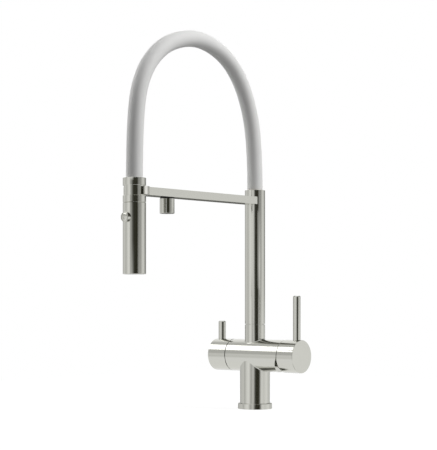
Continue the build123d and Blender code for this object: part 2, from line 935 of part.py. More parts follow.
keep(
    "stream_tube",
    ring(
        level(stream_top_z, 0, -reach),
        stream_tube_radius,
        stream_tube_radius - stream_tube_wall,
        core_bottom_z - stream_top_z,
    ),
)

# Mixing cartridge in the barrel's right end

housing_bore_radius = cartridge_radius - cartridge_wall
plate_x = cartridge_floor_x + cartridge_floor
housing_end_x = cartridge_floor_x + cartridge_length
port_places = ((-port_y, -port_y), (port_y, -port_y), (0, mixed_rise))
seal_radius = supply_radius + port_seal_width


def port_cuts(x, radius, depth):
    """Cuts the cartridge's three ports, from x to the right."""
    for y, rise in port_places:
        bore(facing_right(x, y, barrel_z + rise), radius, depth)


with BuildPart() as cartridge_housing:
    rod(facing_right(cartridge_floor_x), cartridge_radius, cartridge_length)
    bore(facing_right(plate_x), housing_bore_radius, cartridge_length - cartridge_floor)
    port_cuts(cartridge_floor_x, supply_radius, cartridge_floor)
    port_cuts(cartridge_floor_x, seal_radius + push_gap, port_seal_height)
keep("cartridge_housing", cartridge_housing.part)

port_seals = [
    ring(
        facing_right(cartridge_floor_x, y, barrel_z + rise),
        seal_radius,
        supply_radius,
        port_seal_height,
    )
    for y, rise in port_places
]
keep_group("cartridge_port_seals", port_seals)

with BuildPart() as fixed_disc:
    rod(facing_right(plate_x), housing_bore_radius - push_gap, disc_thickness)
    port_cuts(plate_x, supply_radius, disc_thickness)
keep("fixed_disc", fixed_disc.part)

# The moving disc and its driver sit half their travel low when the lever is shut
disc_travel = lever_arm * sin(radians(lever_tilt))
moving_x = plate_x + disc_thickness
driver_x = moving_x + disc_thickness
disc_z = barrel_z - disc_travel / 2
block_x = driver_x + driver_plate
block_end_x = block_x + driver_block_height
ball_x = pivot_x - lever_arm
ball_room = lever_ball_radius + lever_ball_gap

with BuildPart() as moving_disc:
    rod(facing_right(moving_x, 0, disc_z), moving_disc_radius, disc_thickness)
    bore(
        facing_right(moving_x, 0, disc_z), moving_disc_pocket, moving_disc_pocket_depth
    )
keep("moving_disc", moving_disc.part)

with BuildPart() as disc_driver:
    rod(facing_right(driver_x, 0, disc_z), driver_radius, driver_plate)
    bar(facing_right(block_x), driver_block, driver_block, driver_block_height)
    bar(
        facing_right(ball_x - ball_room),
        2 * ball_room,
        2 * ball_room,
        block_end_x - ball_x + ball_room,
        Mode.SUBTRACT,
    )
keep("disc_driver", disc_driver.part)

# Turret: turns with the lever and carries its pivot pin
turret_foot_x = housing_end_x - turret_flange
turret_end_x = pivot_x + turret_neck_end
tilt_cos = cos(radians(lever_tilt))
tilt_tan = tan(radians(lever_tilt))
slot_low = lever_hub_radius / tilt_cos + turret_neck_end * tilt_tan + turret_clear
groove_low = driver_block / 2 + turret_clear
groove_high = groove_low + disc_travel


def lever_slot(start_x, end_x):
    """Cuts the slot in which the lever tilts, high enough for its inner end's rise there."""
    slot_high = lever_shaft_radius / tilt_cos + (pivot_x - start_x) * tilt_tan + turret_clear
    bar(
        facing_right(start_x, 0, barrel_z + (slot_high - slot_low) / 2),
        2 * (lever_hub_radius + running_gap),
        slot_high + slot_low,
        end_x - start_x,
        Mode.SUBTRACT,
    )


with BuildPart() as cartridge_turret:
    rod(facing_right(turret_foot_x), housing_bore_radius - running_gap, turret_flange - push_gap)
    rod(facing_right(housing_end_x - push_gap), turret_neck_radius, turret_end_x - housing_end_x)
    lever_slot(turret_foot_x, housing_end_x)
    lever_slot(housing_end_x, turret_end_x)
    bar(
        facing_right(turret_foot_x, 0, barrel_z + (groove_high - groove_low) / 2),
        driver_block + 2 * running_gap,
        groove_high + groove_low,
        block_end_x - turret_foot_x + turret_clear,
        Mode.SUBTRACT,
    )
    bore(
        Plane(origin=(pivot_x, pivot_pin_length / 2, barrel_z), z_dir=(0, -1, 0)),
        pivot_pin_radius + push_gap,
        pivot_pin_length,
    )
keep("cartridge_turret", cartridge_turret.part)

with BuildPart() as lever_pivot_pin:
    rod(
        Plane(origin=(pivot_x, pivot_pin_length / 2, barrel_z), z_dir=(0, -1, 0)),
        pivot_pin_radius,
        pivot_pin_length,
    )
keep("lever_pivot_pin", lever_pivot_pin.part)

with BuildPart() as cartridge_lever:
    rod(facing_right(ball_x), lever_shaft_radius, lever_arm)
    rod(
        facing_right(pivot_x - lever_hub_inner),
        lever_hub_radius,
        lever_hub_inner + lever_hub_outer,
    )
    with Locations((ball_x, 0, barrel_z)):
        Sphere(lever_ball_radius)
    bore(
        Plane(origin=(pivot_x, lever_hub_radius + overrun, barrel_z), z_dir=(0, -1, 0)),
        pivot_pin_radius + push_gap,
        2 * (lever_hub_radius + overrun),
    )
keep("cartridge_lever", cartridge_lever.part)

nut_foot_x = housing_end_x
nut_end_x = nut_foot_x + ring_nut_length

with BuildPart() as cartridge_ring_nut:
    rod(facing_right(nut_foot_x), cartridge_radius, ring_nut_length)
    bore(facing_right(nut_foot_x), turret_neck_radius + clear_gap, ring_nut_length)
    with BuildSketch(facing_right(nut_end_x - ring_nut_notch)) as notches:
        with PolarLocations(cartridge_radius, ring_nut_notch_count):
            Rectangle(ring_nut_notch, ring_nut_notch)
    extrude(notches.sketch, amount=ring_nut_notch, mode=Mode.SUBTRACT)
keep("cartridge_ring_nut", cartridge_ring_nut.part)

# Caps with their lever rods and grub screws


def lever_cap(rim, radius, wall, bore_depth, length, boss_radius, boss_length):
    """A turned cap: hollow from its rim, solid at its end, with a boss inside if it has one."""
    bore_floor = rim.offset(bore_depth)
    with BuildPart() as cap:
        rod(rim, radius, length)
        edges = rims(cap, radius).sort_by(Axis(rim.origin, rim.z_dir))
        chamfer(edges[0], rim_edge)
        chamfer(edges[-1], cap_edge)
        bore(rim, radius - wall, bore_depth)
        if boss_length:
            rod(bore_floor.offset(-boss_length), boss_radius, boss_length)
    return cap.part


mixing_rim = facing_right(mixing_cap_x)
mixing_foot_z = barrel_z + mixing_cap_radius
lever_tip_x = pivot_x + lever_hub_outer
boss_start_x = mixing_cap_x + mixing_cap_bore_depth - mixing_boss_length

with BuildPart() as mixing_cap:
    add(
        lever_cap(
            mixing_rim,
            mixing_cap_radius,
            mixing_cap_wall,
            mixing_cap_bore_depth,
            mixing_cap_length,
            mixing_boss_radius,
            mixing_boss_length,
        )
    )
    bore(
        facing_right(boss_start_x),
        lever_hub_radius + push_gap,
        lever_tip_x + push_gap - boss_start_x,
    )
    bore(
        level(mixing_foot_z - rod_stud_length, mixing_rod_x),
        rod_stud_radius + push_gap,
        rod_stud_length + overrun,
    )
    bore(
        Plane(origin=(lever_tip_x - grub_offset, 0, barrel_z), z_dir=(0, 0, -1)),
        grub_radius + push_gap,
        mixing_cap_radius + overrun,
    )
keep("mixing_cap", mixing_cap.part)

spindle_tip_x = filter_cap_x - filter_cap_bore_depth - spindle_grip

with BuildPart() as filter_cap:
    add(
        lever_cap(
            facing_left(filter_cap_x),
            barrel_radius,
            filter_cap_wall,
            filter_cap_bore_depth,
            filter_cap_length,
            0,
            0,
        )
    )
    bore(
        facing_left(filter_cap_x),
        spindle_radius + push_gap,
        filter_cap_x - spindle_tip_x + push_gap,
    )
    bore(
        level(barrel_z + barrel_radius - rod_stud_length, filter_rod_x),
        rod_stud_radius + push_gap,
        rod_stud_length + overrun,
    )
    bore(
        Plane(origin=(spindle_tip_x + grub_offset, 0, barrel_z), z_dir=(0, 0, -1)),
        grub_radius + push_gap,
        barrel_radius + overrun,
    )
keep("filter_cap", filter_cap.part)


def lever_rod(x, cap_radius, height):
    """A lever rod that stands on a cap's round top, with its threaded stud in the cap."""
    foot_z = barrel_z + cap_radius
    seat = cap_radius - (cap_radius**2 - rod_radius**2) ** 0.5
    with BuildPart() as lever:
        rod(level(foot_z - seat, x), rod_radius, height + seat)
        chamfer(rims(lever, rod_radius).sort_by(Axis.Z)[-1], rod_edge)
        bore(facing_right(x - rod_radius - overrun), cap_radius + push_gap, 2 * (rod_radius + overrun))
        rod(level(foot_z - rod_stud_length, x), rod_stud_radius, rod_stud_length)
    return lever.part


keep("mixing_lever_rod", lever_rod(mixing_rod_x, mixing_cap_radius, mixing_rod_height))
keep("filter_lever_rod", lever_rod(filter_rod_x, barrel_radius, filter_rod_height))


def grub_screw(x, shaft_radius):
    """A grub screw under the cap that bears on the shaft, with a hexagon socket."""
    foot_z = barrel_z - shaft_radius - push_gap - grub_length
    with BuildPart() as screw:
        rod(level(foot_z, x), grub_radius, grub_length)
        with BuildSketch(level(foot_z, x)) as key:
            RegularPolygon(grub_radius * corner_share, 6)
        extrude(key.sketch, amount=grub_radius, mode=Mode.SUBTRACT)
    return screw.part


keep("mixing_cap_screw", grub_screw(lever_tip_x - grub_offset, lever_hub_radius))
keep("filter_cap_screw", grub_screw(spindle_tip_x + grub_offset, spindle_radius))

# Filter valve: quarter-turn headwork in the barrel's left end

disc_face_x = headwork_floor_x - filter_seal_height
filter_moving_x = disc_face_x - filter_disc_thickness
spindle_foot_x = filter_moving_x - filter_disc_thickness
hex_end_x = -barrel_left - headwork_hex_length
neck_end_x = hex_end_x - headwork_neck_length
spindle_seal_x = headwork_floor_x - headwork_depth * (1 - spindle_seal_share)

with BuildPart() as filter_headwork:
    rod(facing_left(headwork_floor_x), headwork_radius, headwork_depth)
    with BuildSketch(facing_left(-barrel_left)) as hexagon:
        RegularPolygon(headwork_hex_flats / 2, 6, major_radius=False)
    extrude(hexagon.sketch, amount=headwork_hex_length)
    rod(facing_left(hex_end_x), headwork_neck_radius, headwork_neck_length)
    bore(facing_left(headwork_floor_x), headwork_bore_radius, headwork_bore_depth)
    bore(
        facing_left(headwork_floor_x),
        spindle_radius + running_gap,
        headwork_floor_x - neck_end_x,
    )
keep("filter_headwork", filter_headwork.part)

filter_places = ((0, filter_way_radius), (-filter_port_offset, filter_way_radius))
filter_seals = [
    ring(
        facing_left(headwork_floor_x, 0, barrel_z + rise),
        radius + filter_seal_width,
        radius,
        filter_seal_height,
    )
    for rise, radius in filter_places
]
keep_group("filter_port_seals", filter_seals)

with BuildPart() as filter_fixed_disc:
    rod(facing_left(disc_face_x), filter_disc_radius, filter_disc_thickness)
    for rise, radius in filter_places:
        bore(facing_left(disc_face_x, 0, barrel_z + rise), radius, filter_disc_thickness)
keep("filter_fixed_disc", filter_fixed_disc.part)

with BuildPart() as filter_moving_disc:
    rod(facing_left(filter_moving_x), filter_disc_radius, filter_disc_thickness)
    # Channel that joins the two ports after a quarter turn
    bar(
        facing_left(filter_moving_x, filter_port_offset / 2),
        filter_port_offset + 2 * filter_way_radius,
        2 * filter_way_radius,
        filter_disc_thickness / 2,
        Mode.SUBTRACT,
    )
keep("filter_moving_disc", filter_moving_disc.part)

spindle_seal_ring = spindle_radius - spindle_seal_depth + spindle_seal_radius

with BuildPart() as filter_spindle:
    rod(facing_left(spindle_foot_x), filter_disc_radius, spindle_flange_height)
    rod(facing_left(spindle_foot_x), spindle_radius, spindle_foot_x - spindle_tip_x)
    groove(
        facing_left(spindle_seal_x + spindle_seal_radius),
        spindle_radius,
        spindle_radius - spindle_seal_depth,
        2 * spindle_seal_radius,
    )
keep("filter_spindle", filter_spindle.part)

keep(
    "filter_spindle_seal",
    round_seal(
        facing_left(spindle_seal_x), spindle_seal_ring, spindle_seal_radius - running_gap
    ),
)
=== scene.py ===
import math

import bpy
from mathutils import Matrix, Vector


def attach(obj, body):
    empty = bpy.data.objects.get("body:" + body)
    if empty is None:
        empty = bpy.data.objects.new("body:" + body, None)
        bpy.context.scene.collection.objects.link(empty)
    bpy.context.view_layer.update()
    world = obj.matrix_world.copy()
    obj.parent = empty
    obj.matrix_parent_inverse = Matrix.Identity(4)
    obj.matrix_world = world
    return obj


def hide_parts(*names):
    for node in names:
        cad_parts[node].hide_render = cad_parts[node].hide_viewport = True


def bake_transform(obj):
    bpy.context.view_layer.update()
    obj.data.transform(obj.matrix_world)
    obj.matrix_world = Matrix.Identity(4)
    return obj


bl_info = {
    "name": "Drinking water filter tap",
    "version": (1, 0, 0),
    "blender": (4, 5, 0),
    "location": "View3D > Sidebar > Tap",
    "description": "Dresses the packed tap: hose, spray, finishes, stage and camera",
    "category": "Object",
}

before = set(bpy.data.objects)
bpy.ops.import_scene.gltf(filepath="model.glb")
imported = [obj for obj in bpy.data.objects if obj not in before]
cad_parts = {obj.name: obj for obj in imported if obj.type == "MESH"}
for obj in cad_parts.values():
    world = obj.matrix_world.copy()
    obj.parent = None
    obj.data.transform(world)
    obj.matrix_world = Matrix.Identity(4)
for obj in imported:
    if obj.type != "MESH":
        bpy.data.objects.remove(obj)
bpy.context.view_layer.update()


def node_box(name):
    """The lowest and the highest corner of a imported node."""
    axes = list(zip(*(tuple(corner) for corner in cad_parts[name].bound_box)))
    return Vector([min(values) for values in axes]), Vector([max(values) for values in axes])


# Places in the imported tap
nut_low, nut_high = node_box("hose_nut")
button_low, button_high = node_box("spray_button")
SPRAY_Y = (nut_low.y + nut_high.y) / 2
SPRAY_FACE_Z = node_box("spray_face")[0].z
BUTTON_Z = (button_low.z + button_high.z) / 2
BUTTON_FACE_Y = button_low.y
BUTTON_BACK_Y = button_high.y
SPRING_SEAT_Y = node_box("button_spring")[1].y

# Corner points of the hose's route, from the riser over to the spray
HOSE_ROUTE = (
    (0.0, 0.0, 0.2962),
    (0.0, 0.0, 0.368),
    (0.0, -0.01954, 0.433),
    (0.0, -0.0548, 0.475),
    (0.0, -0.10304, 0.494),
    (0.0, -0.14869, 0.494),
    (0.0, -0.19965, 0.4745),
    (0.0, -0.2359, 0.433),
    (0.0, SPRAY_Y, 0.372),
    (0.0, SPRAY_Y, 0.2973),
)
ROUTE_STEPS = 24

# Sides of the round pieces, and points to a turn of the springs
HOSE_SIDES = 64
WATER_HOSE_SIDES = 32
WIRE_SIDES = 6
BUTTON_SIDES = 48
NUB_SIDES = 10
HOSE_SPRING_STEPS = 10
BUTTON_SPRING_STEPS = 24

# Spray button and the spring behind it
BUTTON_RADIUS = 0.0051
BUTTON_FLANGE_RADIUS = 0.0061
BUTTON_FLANGE_HEIGHT = 0.001
BUTTON_DOME_HEIGHT = 0.001
BUTTON_DOME_STEPS = 9
BUTTON_SPRING_RADIUS = 0.0027
BUTTON_SPRING_WIRE = 0.0005
BUTTON_SPRING_TURNS = 3
# A turned piece is left open by this radius on its axis
AXIS_RADIUS = 0.00001

# Nubs round the jets: radii of a nub, and heights over and under the spray's face
NUB_FOOT_RADIUS = 0.00088
NUB_TIP_RADIUS = 0.0007
NUB_RIM_RADIUS = 0.0004
NUB_BORE_RADIUS = 0.00035
NUB_ROOT_Z = 0.001
NUB_SHOULDER_Z = -0.0002
NUB_TIP_Z = -0.0005
INNER_NUB_RING = 0.0086
OUTER_NUB_RING = 0.0112
INNER_NUB_COUNT = 16
OUTER_NUB_COUNT = 20

# Lines of a finish to the metre, across the brushing and along it
FINE = 9000
COARSE = 60
METAL_GRAIN = 900
GRAIN_HEIGHT = 0.0001
# How much of the grain is fine lines rather than clouds, and how far it sways the tint and the
# roughness
FINE_SHARE = 0.75
TINT_SPREAD = 0.25
ROUGHNESS_SPREAD = 0.2
METAL_GRAIN_STRENGTH = 0.5
MOULDED_GRAIN_STRENGTH = 0.4

# The photo's frame in pixels, and the camera that took it
PHOTO_HEIGHT = 450
FOCAL_LENGTH = 1400
HORIZON_ROW = 296.57
SENSOR = 36
FAR_CLIP = 50

# Floor and backdrop
FLOOR_HALF = 0.75
FLOOR_Z = -0.0002
FLOOR_GREY = 0.25
FLOOR_ROUGHNESS = 0.9
FLOOR_GLOW = 0.87
AMBIENT = 0.12
WHITE = 1.0

# Lamps: degrees to the right from the camera, degrees up, distance, size, watts, and whether
# only the metal sees it
LAMPS = {
    "right_softbox": (82, 40, 2, (1.2, 1.6), 33, False),
    "left_softbox": (-104, 22, 2, (1.2, 1.6), 22, False),
    "top_softbox": (60, 82, 2, (1.6, 1.6), 3, False),
    "front_fill": (28, 5, 2, (1.2, 1.2), 4.5, False),
    "barrel_highlight": (-84, 37, 1.7, (1.6, 0.81), 7.3, True),
}
LAMP_TARGET = (0, -0.1, 0.25)

# Where one storey of the studio passes into the next: rise of the direction, from -1 to 1
HORIZON = (-0.03, 0.01)
WHITE_APRON = (-0.3, -0.15)
DEEP_STOREY = (-0.65, -0.5)
STUDIO_FLOOR = (-0.92, -0.85)
HIGH_STOREY = (0.08, 0.18)
CEILING = (0.8, 0.9)
CEILING_LEVEL = 1.08

# What the metal mirrors all round in each storey: degrees to the right from the camera, and the
# brightness there
UPPER_WALLS = (
    (-180, 0.25),
    (-165, 0.35),
    (-150, 0.6),
    (-126, 0.8),
    (-106, 0.86),
    (-89, 0.66),
    (-75, 0.88),
    (-61, 1.02),
    (-49, 1.06),
    (-36, 0.85),
    (-25, 0.92),
    (-14, 0.78),
    (-7, 0.3),
    (0, 0.05),
    (31, 0.03),
    (40, 0.2),
    (48, 0.44),
    (66, 0.44),
    (74, 0.6),
    (90, 0.9),
    (100, 0.96),
    (116, 0.86),
    (128, 0.5),
    (142, 0.34),
    (180, 0.25),
)
LOWER_WALLS = (
    (-180, 0.12),
    (-168, 0.3),
    (-145, 0.7),
    (-98, 0.82),
    (-87, 0.62),
    (-77, 0.83),
    (-66, 0.98),
    (-51, 1.06),
    (-42, 0.86),
    (-35, 0.54),
    (-27, 0.58),
    (-18, 0.8),
    (-12, 0.66),
    (-4, 0.2),
    (3, 0.04),
    (26, 0.03),
    (34, 0.2),
    (42, 0.8),
    (50, 1.0),
    (68, 0.9),
    (100, 1.03),
    (127, 0.74),
    (145, 0.9),
    (160, 0.4),
    (180, 0.12),
)
HIGH_WALLS = (
    (-180, 1.1),
    (-162, 1.08),
    (-152, 0.95),
    (-138, 0.68),
    (-20, 0.6),
    (-5, 0.1),
    (140, 0.1),
    (165, 1.08),
    (180, 1.1),
)
DEEP_WALLS = (
    (-180, 1.0),
    (-20, 1.0),
    (-5, 0.15),
    (50, 0.15),
    (85, 0.75),
    (120, 1.0),
    (180, 1.0),
)
# Glowing cards close to the metal that paint bright and dark reflections into it: axis, distance,
# heights of its rows, then degrees with the glow in each row
CARDS = {
    "spray_card": (
        (0.0, SPRAY_Y),
        0.06,
        (0.18, 0.225, 0.305),
        (
            (-37, 0.66, 0.62, 0.6),
            (-23, 0.6, 0.46, 0.42),
            (-14, 0.42, 0.18, 0.13),
            (-5, 0.16, 0.07, 0.05),
            (5, 0.03, 0.03, 0.03),
        ),
    ),
    "riser_left_card": (
        (0.0, 0.0),
        0.1,
        (0.155, 0.19, 0.278),
        ((-47, 0.85, 1.0, 0.95), (-38, 0.74, 0.94, 0.92), (-29, 0.74, 0.96, 1.0)),
    ),
    "riser_left_backing": (
        (0.0, 0.0),
        0.101,
        (0.155, 0.278),
        ((-47, 0.34, 0.34), (-38, 0.34, 0.34), (-29, 0.34, 0.34)),
    ),
    "riser_right_card": (
        (0.0, 0.0),
        0.12,
        (0.168, 0.2, 0.28),
        (
            (24, 0.1, 0.2, 0.25),
            (29, 0.2, 0.35, 0.4),
            (39, 0.5, 0.62, 0.44),
            (50, 0.8, 0.95, 0.5),
            (62, 0.5, 0.6, 0.42),
        ),
    ),
}
# The studio is a little short of blue
BLUE_LOSS = 0.012

# Nodes by finish
TURNED_UPRIGHT = (
    "base_ring",
    "riser_column",
    "mixing_lever_rod",
    "filter_lever_rod",
    "filter_spout",
    "hose_nut",
    "docking_neck",
    "spray_collar",
    "spray_shell",
)
TURNED_ALONG_BARREL = ("mixing_cap", "filter_cap")
MACHINED_BRASS = (
    "cartridge_ring_nut",
    "filter_headwork",
    "arm_nipple",
    "filter_spout_elbow",
    "riser_hose_ferrule",
    "cartridge_lever",
    "filter_spindle",
    "stream_tube",
)
PLAIN_STEEL = (
    "swivel_stop_screw",
    "lever_pivot_pin",
    "mixing_cap_screw",
    "filter_cap_screw",
    "filtered_water_tube",
    "diverter_spool",
)
DARK_PLASTIC = (
    "cartridge_housing",
    "cartridge_turret",
    "disc_driver",
    "filter_aerator",
    "valve_core",
    "spray_check_valve",
    "spray_face",
    "stream_insert",
    "swivel_bearing_rings",
)
CERAMIC = ("fixed_disc", "moving_disc", "filter_fixed_disc", "filter_moving_disc")
SEALS = (
    "deck_seal",
    "cartridge_port_seals",
    "filter_port_seals",
    "riser_seals",
    "filter_spout_washer",
    "filter_spout_seal",
    "filter_spindle_seal",
)


# Sizes and colours that a user would change


class TapFinishSettings(bpy.types.PropertyGroup):
    nickel: bpy.props.FloatVectorProperty(
        name="Nickel",
        description="Colour of the brushed nickel",
        subtype="COLOR",
        size=3,
        min=0,
        max=1,
        default=(0.59, 0.59, 0.55),
    )
    nickel_roughness: bpy.props.FloatProperty(
        name="Nickel roughness",
        description="How softly the brushed nickel mirrors its surroundings",
        subtype="FACTOR",
        min=0,
        max=1,
        default=0.12,
    )
    hose_colour: bpy.props.FloatVectorProperty(
        name="Hose",
        description="Colour of the hose's silicone sleeve",
        subtype="COLOR",
        size=3,
        min=0,
        max=1,
        default=(0.83, 0.83, 0.82),
    )


class TapHoseSettings(bpy.types.PropertyGroup):
    sleeve_radius: bpy.props.FloatProperty(
        name="Sleeve radius",
        description="Outer radius of the hose's sleeve",
        subtype="DISTANCE",
        unit="LENGTH",
        default=0.0106,
    )
    sleeve_wall: bpy.props.FloatProperty(
        name="Sleeve wall",
        description="Wall of the hose's sleeve",
        subtype="DISTANCE",
        unit="LENGTH",
        default=0.0015,
    )
    spring_radius: bpy.props.FloatProperty(
        name="Spring radius",
        description="Radius to the middle of the support spring's wire",
        subtype="DISTANCE",
        unit="LENGTH",
        default=0.0081,
    )
    spring_wire: bpy.props.FloatProperty(
        name="Spring wire",
        description="Thickness of the support spring's wire",
        subtype="DISTANCE",
        unit="LENGTH",
        default=0.0013,
    )
    spring_pitch: bpy.props.FloatProperty(
        name="Spring pitch",
        description="Distance between the support spring's turns",
        subtype="DISTANCE",
        unit="LENGTH",
        default=0.0034,
    )
    inner_radius: bpy.props.FloatProperty(
        name="Inner hose radius",
        description="Outer radius of the water hose inside the spring",
        subtype="DISTANCE",
        unit="LENGTH",
        default=0.0066,
    )
    inner_wall: bpy.props.FloatProperty(
        name="Inner hose wall",
        description="Wall of the water hose inside the spring",
        subtype="DISTANCE",
        unit="LENGTH",
        default=0.0021,
    )


class TapStageSettings(bpy.types.PropertyGroup):
    camera_distance: bpy.props.FloatProperty(
        name="Camera distance",
        description="Distance from the riser's axis to the camera",
        subtype="DISTANCE",
        unit="LENGTH",
        default=1.9428,
    )
    camera_turn: bpy.props.FloatProperty(
        name="Camera turn",
        description="How far the camera stands to the right of the arm",
        subtype="ANGLE",
        unit="ROTATION",
        default=math.radians(39.02),
    )
    camera_height: bpy.props.FloatProperty(
        name="Camera height",
        description="Height of the camera over the worktop",
        subtype="DISTANCE",
        unit="LENGTH",
        default=0.1552,
    )
    camera_side: bpy.props.FloatProperty(
        name="Camera side step",
        description="How far the camera's line of sight passes to the left of the riser",
        subtype="DISTANCE",
        unit="LENGTH",
        default=0.05064,
    )


# Mesh helpers


def add_object(name, data):
    piece = bpy.data.objects.new(name, data)
    bpy.context.scene.collection.objects.link(piece)
    return piece


def new_mesh(name, points, faces):
    """A smooth piece of the given points and faces."""
    mesh = bpy.data.meshes.new(name)
    mesh.from_pydata([tuple(p) for p in points], [], faces)
    mesh.validate()
    for face in mesh.polygons:
        face.use_smooth = True
    mesh.update()
    return add_object(name, mesh)


def lathe(name, profile, origin, axis, sides):
    """Turns a closed profile of (radius, distance along the axis) pairs into a piece."""
    axis = Vector(axis).normalized()
    side = axis.orthogonal().normalized()
    other = axis.cross(side)
    points = []
    for radius, along in profile:
        for k in range(sides):
            turn = 2 * math.pi * k / sides
            out = side * math.cos(turn) + other * math.sin(turn)
            points.append(Vector(origin) + axis * along + out * radius)
    count = len(profile)
    faces = []
    for i in range(count):
        j = (i + 1) % count
        for k in range(sides):
            m = (k + 1) % sides
            faces.append((i * sides + k, i * sides + m, j * sides + m, j * sides + k))
    return new_mesh(name, points, faces)


def smooth_route(route):
    """Points along the smooth curve that follows the route's corner points."""
    data = bpy.data.curves.new("hose_route", "CURVE")
    data.dimensions = "3D"
    data.resolution_u = ROUTE_STEPS
    spline = data.splines.new("NURBS")
    spline.points.add(len(route) - 1)
    for point, place in zip(spline.points, route):
        point.co = (*place, 1)
    spline.order_u = 3
    spline.use_endpoint_u = True
    curve = add_object("hose_route", data)
    graph = bpy.context.evaluated_depsgraph_get()
    mesh = bpy.data.meshes.new_from_object(curve.evaluated_get(graph))
    points = [v.co.copy() for v in mesh.vertices]
    bpy.data.meshes.remove(mesh)
    bpy.data.objects.remove(curve)
    bpy.data.curves.remove(data)
    return points


def flat_tube(name, points, outer, inner, sides):
    """A tube with flat ring ends along points that all lie in the plane of the arm."""
    across = Vector((1, 0, 0))
    count = len(points)
    rings = {outer: [], inner: []}
    for i, point in enumerate(points):
        ahead = points[min(i + 1, count - 1)] - points[max(i - 1, 0)]
        up = ahead.normalized().cross(across)
        for radius, places in rings.items():
            for k in range(sides):
                turn = 2 * math.pi * k / sides
                out = across * math.cos(turn) + up * math.sin(turn)
                places.append(point + out * radius)
    places = rings[outer] + rings[inner]
    shift = count * sides
    faces = []
    for i in range(count - 1):
        for k in range(sides):
            m = (k + 1) % sides
            a, b = i * sides + k, i * sides + m
            c, d = b + sides, a + sides
            faces.append((d, c, b, a))
            faces.append((a + shift, b + shift, c + shift, d + shift))
    last = (count - 1) * sides
    for k in range(sides):
        m = (k + 1) % sides
        faces.append((k, m, m + shift, k + shift))
        faces.append((last + m, last + k, last + k + shift, last + m + shift))
    return new_mesh(name, places, faces)


# Material helpers


def group_socket(tree, name, kind, way, default=None):
    socket = tree.interface.new_socket(name=name, in_out=way, socket_type=kind)
    if default is not None:
        socket.default_value = default


def calculate(tree, operation, *values):
    """A Math node fed with numbers and sockets, which gives its result's socket."""
    node = tree.nodes.new("ShaderNodeMath")
    node.operation = operation
    for socket, value in zip(node.inputs, values):
        if isinstance(value, bpy.types.NodeSocket):
            tree.links.new(value, socket)
        else:
            socket.default_value = value
    return node.outputs[0]


def brushed_grain_group():
    """Fine brushing lines: a stretched noise that varies tint, roughness and height."""
    name = "brushed_grain"
    if name in bpy.data.node_groups:
        return bpy.data.node_groups[name]
    tree = bpy.data.node_groups.new(name, "ShaderNodeTree")
    group_socket(tree, "Place", "NodeSocketVector", "INPUT")
    group_socket(tree, "Colour", "NodeSocketColor", "INPUT")
    group_socket(tree, "Roughness", "NodeSocketFloat", "INPUT")
    group_socket(tree, "Strength", "NodeSocketFloat", "INPUT")
    group_socket(tree, "Colour", "NodeSocketColor", "OUTPUT")
    group_socket(tree, "Roughness", "NodeSocketFloat", "OUTPUT")
    group_socket(tree, "Height", "NodeSocketFloat", "OUTPUT")
    nodes, links = tree.nodes, tree.links
    entry = nodes.new("NodeGroupInput")
    leave = nodes.new("NodeGroupOutput")
    fine = nodes.new("ShaderNodeTexNoise")
    fine.inputs["Scale"].default_value = 1
    fine.inputs["Detail"].default_value = 4
    fine.inputs["Roughness"].default_value = 0.65
    links.new(entry.outputs["Place"], fine.inputs["Vector"])
    cloudy = nodes.new("ShaderNodeTexNoise")
    cloudy.inputs["Scale"].default_value = 0.02
    cloudy.inputs["Detail"].default_value = 2
    links.new(entry.outputs["Place"], cloudy.inputs["Vector"])
    soft = calculate(tree, "MULTIPLY", cloudy.outputs["Fac"], 1 - FINE_SHARE)
    mixed = calculate(tree, "MULTIPLY_ADD", fine.outputs["Fac"], FINE_SHARE, soft)
    centred = calculate(tree, "SUBTRACT", mixed, 0.5)
    scaled = calculate(tree, "MULTIPLY", centred, entry.outputs["Strength"])
    tinted = nodes.new("ShaderNodeVectorMath")
    tinted.operation = "SCALE"
    links.new(entry.outputs["Colour"], tinted.inputs[0])
    links.new(calculate(tree, "MULTIPLY_ADD", scaled, TINT_SPREAD, 1), tinted.inputs["Scale"])
    links.new(tinted.outputs["Vector"], leave.inputs["Colour"])
    roughness = entry.outputs["Roughness"]
    rough = calculate(tree, "MULTIPLY_ADD", scaled, ROUGHNESS_SPREAD, roughness)
    rough.node.use_clamp = True
    links.new(rough, leave.inputs["Roughness"])
    links.new(mixed, leave.inputs["Height"])
    return tree


def start_material(name):
    material = bpy.data.materials.new(name)
    material.use_nodes = True
    shader = material.node_tree.nodes["Principled BSDF"]
    return material, material.node_tree, shader


def add_grain(tree, shader, colour, roughness, lines, strength, bump):
    """Feeds the shader with brushing lines that are fine across each axis of `lines`."""
    nodes, links = tree.nodes, tree.links
    place = nodes.new("ShaderNodeTexCoord")
    stretch = nodes.new("ShaderNodeMapping")
    stretch.inputs["Scale"].default_value = lines
    links.new(place.outputs["Object"], stretch.inputs["Vector"])
    grain = nodes.new("ShaderNodeGroup")
    grain.node_tree = brushed_grain_group()
    grain.inputs["Colour"].default_value = (*colour, 1)
    grain.inputs["Roughness"].default_value = roughness
    grain.inputs["Strength"].default_value = strength
    links.new(stretch.outputs["Vector"], grain.inputs["Place"])
    links.new(grain.outputs["Colour"], shader.inputs["Base Color"])
    links.new(grain.outputs["Roughness"], shader.inputs["Roughness"])
    relief = nodes.new("ShaderNodeBump")
    relief.inputs["Strength"].default_value = bump
    relief.inputs["Distance"].default_value = GRAIN_HEIGHT
    links.new(grain.outputs["Height"], relief.inputs["Height"])
    links.new(relief.outputs["Normal"], shader.inputs["Normal"])


def metal(name, colour, roughness, lines, bump):
    material, tree, shader = start_material(name)
    shader.inputs["Metallic"].default_value = 1
    add_grain(tree, shader, colour, roughness, lines, METAL_GRAIN_STRENGTH, bump)
    return material


def brushed_nickel(name, lines):
    settings = bpy.context.scene.tap_finish
    return metal(name, settings.nickel, settings.nickel_roughness, lines, bump=0.15)


def plain_metal(name, colour, roughness):
    return metal(name, colour, roughness, (METAL_GRAIN,) * 3, bump=0.1)


